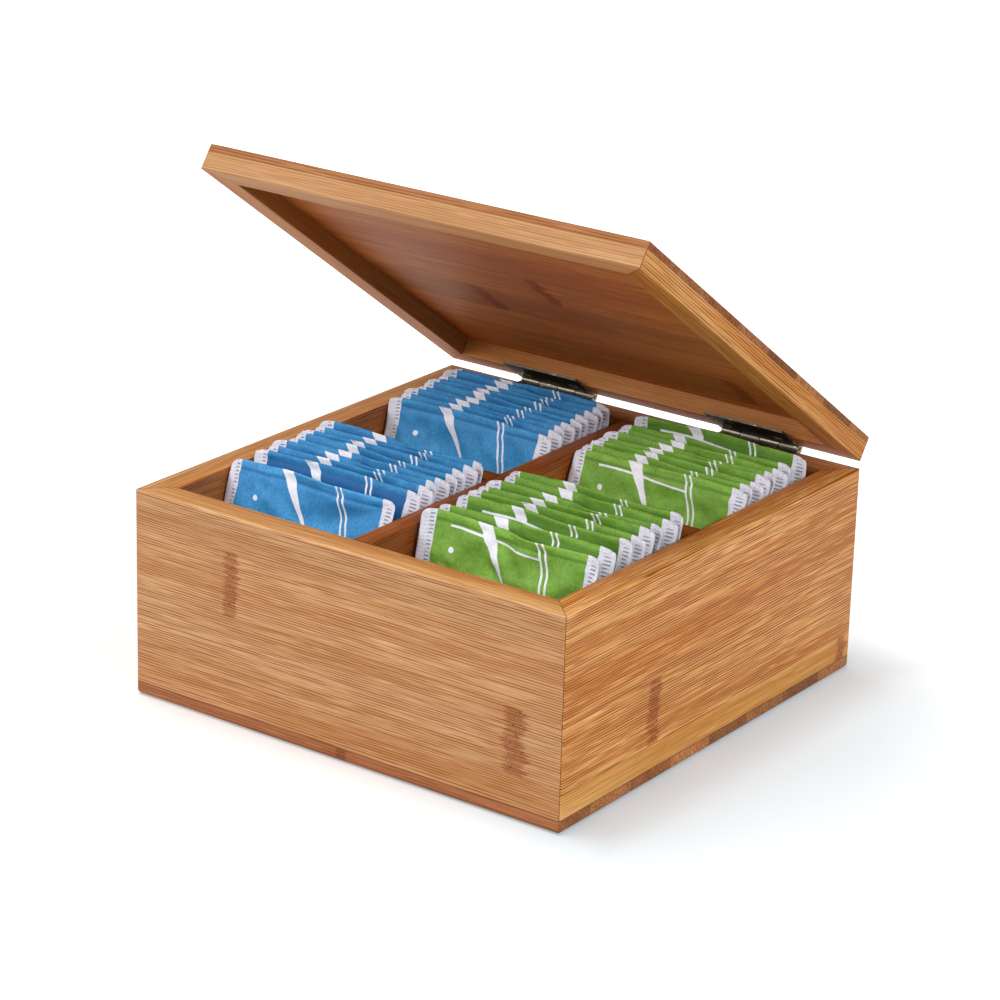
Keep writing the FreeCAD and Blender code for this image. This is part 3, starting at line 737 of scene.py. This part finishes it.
@dataclass
class SachetPattern:
    """One filled sachet, modelled upright with the middle of its foot at the origin.

    Attributes:
        width: width over both sealed ends.
        height: height from the foot to the top fold.
        paper: thickness of the folded paper.
        seal: width of each sealed end.
        puff: thickness at the filling.
        seed: number that sets its creases apart.
        columns, rows: number of faces across and up each sheet.
        frames: steps of the filling.
    """

    width: float = 69.0 * MM
    height: float = 75.0 * MM
    paper: float = 0.5 * MM
    seal: float = 5.5 * MM
    puff: float = 4.3 * MM
    seed: int = 0
    columns: int = 76
    rows: int = 70
    frames: int = 14

    def build(self) -> bpy.types.Object:
        """Build the sachet.

        Returns:
            The finished piece, not yet placed in a row.
        """
        piece = self._flat_pouch()
        self._inflate(piece)
        self._even_out(piece)
        Bench.edit(piece, lambda: bpy.ops.mesh.vertices_smooth(factor=0.5, repeat=4))
        self._press_creases(piece)
        self._trim_ends(piece)
        Bench.only(piece)
        bpy.ops.object.shade_smooth()
        return piece

    def _flat_pouch(self) -> bpy.types.Object:
        """Return a flat shell of two sheets that join round the edge."""
        Bench.clear()
        bpy.ops.mesh.primitive_grid_add(x_subdivisions=self.columns, y_subdivisions=self.rows,
                                        size=1.0, rotation=(math.pi / 2, 0.0, 0.0),
                                        location=(0.0, self.paper / 2, self.height / 2))
        piece = bpy.context.active_object
        piece.name = f"sachet_pattern_{self.seed}"
        piece.scale = (self.width, self.height, 1.0)
        Bench.settle(piece)
        Bench.edit(piece, lambda: bpy.ops.mesh.extrude_region_move(
            TRANSFORM_OT_translate={"value": (0.0, -self.paper, 0.0)}))
        Bench.edit(piece, lambda: bpy.ops.mesh.normals_make_consistent(inside=False))
        return piece

    def _inflate(self, piece: bpy.types.Object) -> None:
        """Fill the pouch with the pressure of its tea, with its sealed ends held."""
        held = piece.vertex_groups.new(name="held")
        inner = self.width / 2 - self.seal * 0.75
        ends = [vertex.index for vertex in piece.data.vertices if abs(vertex.co.x) > inner]
        held.add(ends, 1.0, "REPLACE")
        cloth = piece.modifiers.new("cloth", "CLOTH")
        settings = cloth.settings
        settings.quality = 5
        settings.mass = 0.15
        settings.tension_stiffness = 25.0
        settings.compression_stiffness = 25.0
        settings.shear_stiffness = 8.0
        settings.bending_stiffness = 0.4
        settings.vertex_group_mass = held.name
        settings.shrink_min = -0.015
        settings.use_pressure = True
        settings.uniform_pressure_force = 0.9
        settings.effector_weights.gravity = 0.0
        cloth.collision_settings.use_self_collision = False
        noise_source = random.Random(self.seed)
        for vertex in piece.data.vertices:
            vertex.co.y += noise_source.uniform(-1.0, 1.0) * 0.05 * MM
        scene = bpy.context.scene
        for step in range(1, self.frames + 1):
            scene.frame_set(step)
        Bench.apply_modifiers(piece)
        scene.frame_set(1)

    def _even_out(self, piece: bpy.types.Object) -> None:
        """Bring the filled part to its thickness and the ends to the thickness of paper."""
        vertices = piece.data.vertices
        flat = self.paper / 2
        filled = max(abs(vertex.co.y) for vertex in vertices) > self.paper * 2
        most = sorted(abs(vertex.co.y) for vertex in vertices)[-len(vertices) // 40]
        for vertex in vertices:
            if filled:
                share = (abs(vertex.co.y) - flat) / (most - flat)
            else:
                across = 1.0 - (2 * vertex.co.x / (self.width - 2 * self.seal)) ** 2
                up = vertex.co.z / self.height
                share = max(0.0, across) * max(0.0, 4 * up * (1 - up))
            if share > 0.0:
                thick = flat + min(1.08, share ** 0.72) * (self.puff / 2 - flat)
                vertex.co.y = math.copysign(thick, vertex.co.y)

    def _creases(self, source: random.Random) -> list[Crease]:
        """Return creases that spread from the sealed ends and the top corners."""
        creases = []
        seam = self.width / 2 - self.seal
        for sheet in (-1, 1):
            for side in (-1, 1):
                inward = math.pi if side > 0 else 0.0
                for _ in range(5):
                    creases.append(Crease(
                        side * (seam + 0.5 * MM), self.height * source.uniform(0.12, 0.96),
                        inward + math.radians(source.uniform(-32.0, 32.0)),
                        source.uniform(7.0, 24.0) * MM, source.uniform(0.8, 1.7) * MM,
                        source.uniform(0.20, 0.50) * MM, sheet))
                steep = math.radians(source.uniform(28.0, 48.0))
                creases.append(Crease(
                    side * (seam - 1.0 * MM), self.height - source.uniform(2.0, 7.0) * MM,
                    inward + steep * side, source.uniform(24.0, 38.0) * MM,
                    source.uniform(1.8, 3.0) * MM, source.uniform(0.45, 0.8) * MM, sheet))
        return creases

    def _press_creases(self, piece: bpy.types.Object) -> None:
        """Press the creases, the top fold and the lumps of the tea into the filled part."""
        source = random.Random(100 + self.seed)
        creases = self._creases(source)
        away = self.seed * 3.7
        for vertex in piece.data.vertices:
            x, y, z = vertex.co
            room = max(0.0, abs(y) - self.paper / 2)
            if room <= 0.0:
                continue
            sheet = -1 if y < 0 else 1
            lump = noise.noise(Vector((x * 95.0, sheet * 5.0 + away, z * 95.0)))
            grain = noise.noise(Vector((x * 260.0, sheet * 5.0 + away, z * 260.0)))
            depth = -lump * 0.46 * MM - grain * 0.07 * MM
            depth += sum(crease.at(x, z) for crease in creases if crease.sheet == sheet)
            below = self.height - z
            depth += 0.95 * MM * math.exp(-((below - FOLD_DOWN) / (1.2 * MM)) ** 2)
            vertex.co.y = math.copysign(abs(y) - min(room * 0.85, depth), y)

    def _trim_ends(self, piece: bpy.types.Object) -> None:
        """Round the corners of the sealed ends, curl them and wave the top fold."""
        source = random.Random(300 + self.seed)
        curls = {side: (source.choice((-1.0, 1.0)) * source.uniform(0.9, 1.9),
                        source.uniform(0.0, math.tau)) for side in (-1, 1)}
        bow, bow_turn = source.uniform(-0.8, 0.8), source.uniform(0.0, math.tau)
        corner = 3.4 * MM
        half = self.width / 2
        for vertex in piece.data.vertices:
            x, y, z = vertex.co
            side = -1 if x < 0 else 1
            out = max(0.0, abs(x) - (half - self.seal)) / self.seal
            up = z / self.height
            curl, turn = curls[side]
            bend = curl * (0.35 + 0.65 * up * up) * out ** 1.6
            ripple = 0.30 * math.sin(z / (5.6 * MM) + turn)
            ripple += 0.22 * math.sin(z / (2.7 * MM) - turn)
            y += (bend + ripple * min(1.0, out * 1.5)) * MM
            y += bow * MM * math.cos(x / half * math.pi / 2) * up ** 2
            y += 0.30 * MM * math.sin(x / (8.5 * MM) + bow_turn) * up ** 4
            z += 0.45 * MM * math.sin(x / (11.0 * MM) + bow_turn) * up ** 8
            for edge_z, sign in ((self.height, 1.0), (0.0, -1.0)):
                over_x = abs(x) - (half - corner)
                over_z = (z - edge_z) * sign + corner
                if over_x > 0 and over_z > 0:
                    shrink = max(over_x, over_z) / math.hypot(over_x, over_z)
                    x = math.copysign(half - corner + over_x * shrink, x)
                    z = edge_z - sign * (corner - over_z * shrink)
            z -= 0.3 * MM * min(1.0, out * 2.0) * up ** 4
            vertex.co = (x, y, z)


@dataclass(frozen=True)
class SachetRow:
    """One row of sachets that lean back against each other.

    Attributes:
        prefix: name of its pieces.
        paper: colour of its paper.
        column: -1 on the left, 1 on the right.
        row: -1 in front, 1 at the back.
        count: number of sachets.
        pitch: distance between two feet.
        leans: lean of the first, of the last but one and of the last sachet, in degrees.
        gaps: extra distance behind a sachet, by its number.
        order: number of the row.
        clearance: distance of a front row's last sachet from the divider.
        leaf_clearance: distance of a back row's last sachet from the shut lid's hinge leaf.
        aside: distance of a row's middle from the box's middle.
        swing, tilt: largest turns of a sachet about the vertical and about Y, in degrees.
    """

    prefix: str
    paper: PaperColour
    column: int
    row: int
    count: int
    pitch: float
    leans: tuple[float, float, float]
    gaps: dict[int, float]
    order: int
    clearance: float = 1.5 * MM
    leaf_clearance: float = 1.65 * MM
    aside: float = 39.25 * MM
    swing: float = 0.9
    tilt: float = 0.45

    def feet(self) -> list[float]:
        """Return the place of each foot along Y, the last one first settled."""
        slope = math.tan(math.radians(self.leans[2]))
        if self.row < 0:
            divider_face, divider_height = -2.75 * MM, 67.0 * MM
            last = divider_face - self.clearance - divider_height * slope
        else:
            leaf_height = 68.0 * MM
            last = LEAF_FRONT - self.leaf_clearance - leaf_height * slope
        feet = [last]
        for number in range(self.count - 1, 0, -1):
            feet.insert(0, feet[0] - self.pitch - self.gaps.get(number, 0.0))
        return feet

    def placement(self, number: int, foot: float) -> Matrix:
        """Return where a sachet stands."""
        first, before, last = (math.radians(lean) for lean in self.leans)
        lean = first + (before - first) * (number - 1) / (self.count - 2)
        if number == self.count:
            lean = last
        wave = 2.4 * number + 1.3 * self.order
        yaw = math.radians(self.swing) * math.sin(wave)
        roll = math.radians(self.tilt) * math.cos(1.7 * wave)
        paper_half, width_half = 0.45 * MM, SachetPattern.width / 2
        lift = paper_half * math.sin(lean) + width_half * math.sin(abs(roll))
        height = BASE_TOP + 0.1 * MM + lift
        turn = (Matrix.Rotation(yaw, 4, "Z") @ Matrix.Rotation(-lean, 4, "X")
                @ Matrix.Rotation(roll, 4, "Y"))
        return Matrix.Translation((self.aside * self.column, foot, height)) @ turn


@dataclass
class SachetRows:
    """All sachets in the four compartments."""

    rows: tuple[SachetRow, ...] = (
        SachetRow("sachet_blue_front", PaperColour.BLUE, -1, -1, 9, 5.05 * MM,
                  (17.5, 16.6, 16.5), {1: 7.6 * MM}, 0),
        SachetRow("sachet_green_front", PaperColour.GREEN, 1, -1, 8, 5.6 * MM,
                  (14.0, 14.0, 14.0), {1: 2.6 * MM, 2: 4.6 * MM, 6: 0.9 * MM}, 1),
        SachetRow("sachet_blue_back", PaperColour.BLUE, -1, 1, 9, 5.2 * MM,
                  (18.5, 13.7, 13.0), {}, 2),
        SachetRow("sachet_green_back", PaperColour.GREEN, 1, 1, 8, 5.1 * MM,
                  (19.0, 17.0, 13.0), {7: 8.6 * MM}, 3),
    )
    variants: int = 5
    # Painted shade of the paper: light on a row's first sachet, deep on those behind it.
    first_pressed: float = 0.22
    others_pressed: float = 0.85
    patterns: list[bpy.types.Object] = field(default_factory=list)

    def build(self) -> None:
        """Model the patterns and set a copy in the place of each plain sachet."""
        for seed in range(self.variants):
            self.patterns.append(SachetPattern(seed=seed).build())
        papers = {(paper, pressed): PrintedPaper(
            paper, SachetPattern.width, SachetPattern.height, SachetPattern.seal,
            pressed).material() for paper in PaperColour
            for pressed in (self.first_pressed, self.others_pressed)}
        for row in self.rows:
            for number, foot in enumerate(row.feet(), start=1):
                pressed = self.first_pressed if number == 1 else self.others_pressed
                self._place(row, number, foot, papers[row.paper, pressed])
        for pattern in self.patterns:
            bpy.data.objects.remove(pattern, do_unlink=True)

    def _place(self, row: SachetRow, number: int, foot: float,
               paper: bpy.types.Material) -> None:
        """Copy a pattern into the place of one plain sachet."""
        node = f"{row.prefix}_{number}"
        pattern = self.patterns[(number * 2 + row.order) % self.variants]
        piece = bpy.data.objects.new(f"paper_{node}", pattern.data.copy())
        bpy.context.scene.collection.objects.link(piece)
        piece.data.transform(row.placement(number, foot))
        if row.row > 0 and number == row.count:
            self._clear_leaf(piece)
        piece.data.materials.clear()
        piece.data.materials.append(paper)
        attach(piece, "box")
        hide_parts(node)
        log.info("sachet %s stands %.1f mm behind the front", node,
                 (foot + BOX_HALF) / MM)

    @staticmethod
    def _clear_leaf(piece: bpy.types.Object) -> None:
        """Ease the top of a row's last sachet forward, clear of the shut lid's hinge leaf."""
        eased_from, share = LEAF_FRONT - 2.0 * MM, 0.65
        for vertex in piece.data.vertices:
            vertex.co.y -= max(0.0, vertex.co.y - eased_from) * share


# ---- Boards and hinges, which keep their shape -------------------


OUTSIDE = Tones((0.630, 0.338, 0.130), (0.548, 0.254, 0.082), (0.305, 0.096, 0.018))
# FRONT is paler and greyer than SIDE: a painted sheen of the varnish on the front face.
FRONT = Tones((0.598, 0.338, 0.158), (0.512, 0.260, 0.100), (0.300, 0.096, 0.017))
SIDE = Tones((0.785, 0.408, 0.138), (0.660, 0.268, 0.056), (0.290, 0.074, 0.006))
# BROW is darker: painted shade on the lid's front rail.
BROW = Tones((0.535, 0.310, 0.156), (0.470, 0.248, 0.110), (0.265, 0.114, 0.042))
# REAR is lighter than OUTSIDE: painted light on the lid's back rail.
REAR = Tones((0.770, 0.392, 0.156), (0.690, 0.306, 0.104), (0.400, 0.132, 0.030))
# SHADED is darker: painted shade on the lid's left rail.
SHADED = Tones((0.510, 0.236, 0.076), (0.446, 0.176, 0.046), (0.250, 0.068, 0.010))
# INSIDE is darker and redder, partly as painted shade inside the box.
INSIDE = Tones((0.400, 0.130, 0.024), (0.320, 0.086, 0.012), (0.140, 0.030, 0.004))
COVER = Tones((0.560, 0.300, 0.150), (0.480, 0.230, 0.098), (0.290, 0.110, 0.036))
FOOT = Tones((0.500, 0.200, 0.076), (0.420, 0.150, 0.050), (0.240, 0.075, 0.020))


class Woodwork:
    """Finishes of the walls, the base, the dividers and the lid."""

    def finish(self) -> None:
        """Dress every wooden node."""
        for board, node in self._box_boards() + self._lid_boards():
            dress(node, board.material())

    def _box_boards(self) -> list[tuple[Bamboo, str]]:
        """Return the bamboo of each board of the box with its node."""
        walls = {"ply_split": 80.0 * MM, "mitre": 0.0, "seam": BASE_TOP}
        return [
            # Painted light on the front wall's top face, which is lighter, and painted sheen on the
            # right wall's, which is greyer.
            self._board("wall_front", Axis.X, Axis.Z, 15.0, 1.0, FRONT,
                        ((-45.0, 48.0, 7.5), (67.5, 27.0, 11.0)), contrast=1.10,
                        rim_tint=(1.19, 1.22, 1.05), **walls),
            self._board("wall_right", Axis.Y, Axis.Z, 12.9, 2.0, SIDE,
                        ((-35.0, 24.0, 8.0), (79.0, 8.0, 7.0)), contrast=1.30,
                        yellow_strip=8.0 * MM, rim_tint=(0.96, 1.06, 1.20), gloss=0.20, **walls),
            self._board("wall_back", Axis.X, Axis.Z, 17.0, 3.0, OUTSIDE,
                        ((31.0, 30.0, 7.0), (-62.0, 52.0, 9.0)), **walls),
            self._board("wall_left", Axis.Y, Axis.Z, 14.0, 4.0, OUTSIDE,
                        ((12.0, 46.0, 8.0), (-58.0, 24.0, 6.0)), **walls),
            self._board("base", Axis.X, Axis.Y, -1.7, 5.0, FOOT,
                        ((0.5, -80.0, 6.0), (41.0, 30.0, 8.0)), seam=BASE_TOP,
                        end_tint=(1.15, 1.20, 1.10)),
            self._board("divider_along", Axis.Y, Axis.Z, 16.0, 6.0, INSIDE, (), gloss=0.25),
            self._board("divider_across", Axis.X, Axis.Z, 13.0, 7.0, INSIDE,
                        ((52.0, 58.0, 8.0),), gloss=0.25),
        ]

    def _lid_boards(self) -> list[tuple[Bamboo, str]]:
        """Return the bamboo of each board of the lid with its node."""
        lid = LidTurn(PIN, OPENING)
        # The panel's underside gets painted warm light, and its narrow edges painted shade and
        # sheen.
        boards = [self._board("lid_panel", Axis.X, Axis.Y, 4.0, 8.0, COVER,
                              ((-30.0, -70.0, 8.0), (5.0, -100.0, 7.0), (48.0, -35.0, 9.0)),
                              lid=lid, gloss=0.08, ceiling=True, end_tint=(0.86, 0.69, 0.60),
                              hollow_tint=(1.38, 0.88, 0.43), edge_tint=(0.69, 0.62, 0.59))]
        # Each rail's underside gets painted light and shade (the last colour of each line): lighter
        # on the front and left rails, warmer on the back rail, darker on the right rail.
        for number, (side, grain, tones, contrast, rim) in enumerate((
                ("front", Axis.X, BROW, 0.6, (1.62, 1.42, 1.18)),
                ("right", Axis.Y, SIDE, 0.9, (0.95, 0.82, 0.62)),
                ("back", Axis.X, REAR, 0.6, (1.10, 0.95, 0.80)),
                ("left", Axis.Y, SHADED, 0.6, (1.62, 1.42, 1.20)))):
            boards.append(self._board(f"lid_rail_{side}", grain, Axis.Z, -5.0, 9.0 + number,
                                      tones, (), contrast=contrast, rim_tint=rim, lid=lid,
                                      mitre=PIN.y, strip_width=30.0 * MM, gloss=0.06))
        return boards

    @staticmethod
    def _board(node: str, grain: Axis, across: Axis, start: float, seed: float, tones: Tones,
               marks: tuple[tuple[float, float, float], ...],
               **options: Any) -> tuple[Bamboo, str]:
        """Return the bamboo of one board and its node; the start and the marks are in mm."""
        cane_nodes = tuple(CaneNode(*(length * MM for length in mark)) for mark in marks)
        return Bamboo(f"bamboo_{node}", grain, across, start * MM, tones,
                      cane_nodes=cane_nodes, seed=seed, **options), node


@dataclass
class Hinges:
    """Finishes of the two butt hinges."""

    dark: Colour = (0.070, 0.052, 0.034)
    bright: Colour = (0.66, 0.58, 0.44)

    def finish(self) -> None:
        """Dress the leaves, the pins and the screws."""
        leaves = {
            holder: Bronze(f"bronze_{holder}_leaf", self.dark, self.bright, 0.30, lid).material()
            for holder, lid in (("box", None), ("lid", LidTurn(PIN, OPENING)))}
        worn = Bronze("bronze_worn", (0.24, 0.20, 0.14), (0.72, 0.66, 0.55), 0.7).material()
        for side in ("left", "right"):
            for holder in ("box", "lid"):
                dress(f"hinge_{side}_{holder}_leaf", leaves[holder])
                for number in (1, 2):
                    dress(f"hinge_{side}_{holder}_screw_{number}", worn)
            dress(f"hinge_{side}_pin", worn)


def dress(node: str, material: bpy.types.Material) -> None:
    """Give a node that keeps its shape its finish."""
    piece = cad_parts[node]
    for slot in piece.material_slots:
        slot.material = material
    log.info("%s has %s", node, material.name)


# ---- Studio ------------------------------------------------------


@dataclass(frozen=True)
class SoftLight:
    """A large rectangular lamp that faces the box.

    Attributes:
        name: name of the lamp.
        place: where it hangs.
        size: width and height.
        power: power in watts.
        skips_floor: whether it lights the box alone.
    """

    name: str
    place: tuple[float, float, float]
    size: tuple[float, float]
    power: float
    skips_floor: bool = False

    def hang(self, target: Vector, floor: bpy.types.Object) -> None:
        """Hang the lamp so that it faces the target."""
        lamp = bpy.data.lights.new(self.name, "AREA")
        lamp.shape = "RECTANGLE"
        lamp.size, lamp.size_y = self.size
        lamp.energy = self.power
        holder = bpy.data.objects.new(self.name, lamp)
        holder.location = self.place
        holder.rotation_euler = (target - Vector(self.place)).to_track_quat("-Z", "Y").to_euler()
        bpy.context.scene.collection.objects.link(holder)
        if self.skips_floor:
            skipped = bpy.data.collections.new(f"{self.name}_skips")
            skipped.objects.link(floor)
            skipped.collection_objects[0].light_linking.link_state = "EXCLUDE"
            holder.light_linking.receiver_collection = skipped


@dataclass
class Studio:
    """Pale floor, white surroundings, soft lamps and the camera.

    Attributes:
        camera_place: where the camera stands.
        azimuth, elevation, roll: how it is turned.
        lens: its focal length in millimetres.
        floor_size: length of the floor's sides.
        floor_grey: how much light the floor returns.
        floor_lift: glow of the floor close to the box, which keeps its shadow pale.
        shadow_tint: colour of that glow where light from the wood warms the shadow.
        lamps: the soft lamps.
        surroundings: brightness of the surroundings as light.
    """

    camera_place: tuple[float, float, float] = (0.63065, -0.88317, 0.46534)
    azimuth: float = math.radians(35.58)
    elevation: float = math.radians(20.30)
    roll: float = math.radians(1.625)
    lens: float = 127.04
    floor_size: float = 12.0
    floor_grey: float = 0.90
    floor_lift: float = 0.35
    shadow_tint: Colour = (0.82, 1.01, 1.11)
    lamps: tuple[SoftLight, ...] = (
        SoftLight("key", (-1.2, -1.6, 1.1), (1.0, 0.9), 26.5, skips_floor=True),
        SoftLight("side", (1.5, -0.8, 1.0), (0.8, 0.6), 23.0, skips_floor=True),
        SoftLight("top", (-0.36, -0.08, 1.6), (1.1, 1.1), 15.0),
    )
    surroundings: float = 0.31

    def build(self) -> None:
        """Set up the floor, the surroundings, the lamps and the camera."""
        floor = self._floor()
        self._world()
        for lamp in self.lamps:
            lamp.hang(Vector((0.0, 0.0, 0.06)), floor)
        self._camera()
        bpy.context.scene.view_settings.view_transform = "Standard"

    def _floor(self) -> bpy.types.Object:
        """Lay the floor, which shows white and keeps the soft shadow of the box."""
        Bench.clear()
        bpy.ops.mesh.primitive_plane_add(size=self.floor_size, location=(0.0, 0.0, -0.0002))
        floor = bpy.context.active_object
        floor.name = "floor"
        Bench.edit(floor, lambda: bpy.ops.mesh.subdivide(number_cuts=8))
        Bench.settle(floor)
        g = Graph("floor_white")
        rays = g.add("ShaderNodeLightPath")
        seen = Value(g, rays.outputs["Is Camera Ray"]).higher(
            Value(g, rays.outputs["Is Glossy Ray"])).higher(
            Value(g, rays.outputs["Is Transmission Ray"]))
        matte = g.add("ShaderNodeBsdfDiffuse", inputs={"Color": (*[self.floor_grey] * 3, 1.0)})
        x, y, _ = g.split(g.coordinate("Object"))
        away = g.math("SQRT", x * x + y * y)
        # The glow grows away from the box on the right, behind it and in front of it.
        right_of = x.step(0.092, 0.112) * 0.12
        behind = y.step(0.085, 0.115) * 0.15
        in_front = y.step(-0.070, -0.100) * 0.14
        open_side = right_of.higher(behind).higher(in_front)
        front = y.step(-0.094, -0.115)
        beside = x.step(0.0, 0.08).higher(front * 0.5) * y.step(0.125, 0.05)
        near, far = away.step(0.25, 0.12) * beside, away.step(0.35, 1.3)
        lift = self.floor_lift + away.step(0.125, 0.235) * 0.22 + far * 0.6 + front * 0.12
        glow = g.add("ShaderNodeEmission", inputs={
            "Color": g.mix(near, (1.0, 1.0, 1.0), self.shadow_tint),
            "Strength": seen * (lift + open_side)})
        both = g.add("ShaderNodeAddShader")
        g.tree.links.new(matte.outputs[0], both.inputs[0])
        g.tree.links.new(glow.outputs[0], both.inputs[1])
        g.close(both.outputs[0])
        floor.data.materials.append(g.material)
        return floor

    def _world(self) -> None:
        """Make the surroundings white to the camera, and dimmer as light on the box."""
        world = bpy.data.worlds.new("surroundings")
        bpy.context.scene.world = world
        world.use_nodes = True
        tree = world.node_tree
        tree.nodes.clear()
        rays = tree.nodes.new("ShaderNodeLightPath")
        seen = tree.nodes.new("ShaderNodeMath")
        seen.operation = "MAXIMUM"
        tree.links.new(rays.outputs["Is Camera Ray"], seen.inputs[0])
        tree.links.new(rays.outputs["Is Transmission Ray"], seen.inputs[1])
        strength = tree.nodes.new("ShaderNodeMapRange")
        strength.inputs["To Min"].default_value = self.surroundings
        strength.inputs["To Max"].default_value = 1.0
        tree.links.new(seen.outputs[0], strength.inputs["Value"])
        light = tree.nodes.new("ShaderNodeBackground")
        tree.links.new(strength.outputs["Result"], light.inputs["Strength"])
        output = tree.nodes.new("ShaderNodeOutputWorld")
        tree.links.new(light.outputs[0], output.inputs["Surface"])

    def _camera(self) -> None:
        """Stand the camera at its place, aimed and rolled."""
        camera = bpy.data.cameras.new("camera")
        camera.lens = self.lens
        camera.sensor_width = 36.0
        camera.clip_end = 50.0
        forward = Vector((-math.sin(self.azimuth) * math.cos(self.elevation),
                          math.cos(self.azimuth) * math.cos(self.elevation),
                          -math.sin(self.elevation)))
        level = forward.cross(Vector((0.0, 0.0, 1.0))).normalized()
        upright = level.cross(forward)
        right = level * math.cos(self.roll) + upright * math.sin(self.roll)
        up = upright * math.cos(self.roll) - level * math.sin(self.roll)
        holder = bpy.data.objects.new("camera", camera)
        turn = Matrix((right, up, -forward)).transposed().to_4x4()
        holder.matrix_world = Matrix.Translation(self.camera_place) @ turn
        bpy.context.scene.collection.objects.link(holder)
        bpy.context.scene.camera = holder


def main() -> None:
    """Dress the woodwork and the hinges, model the sachets and set up the studio."""
    logging.basicConfig(level=logging.INFO, format="%(name)s: %(message)s")
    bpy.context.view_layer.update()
    Woodwork().finish()
    Hinges().finish()
    SachetRows().build()
    Studio().build()


if __name__ == "__main__":
    main()
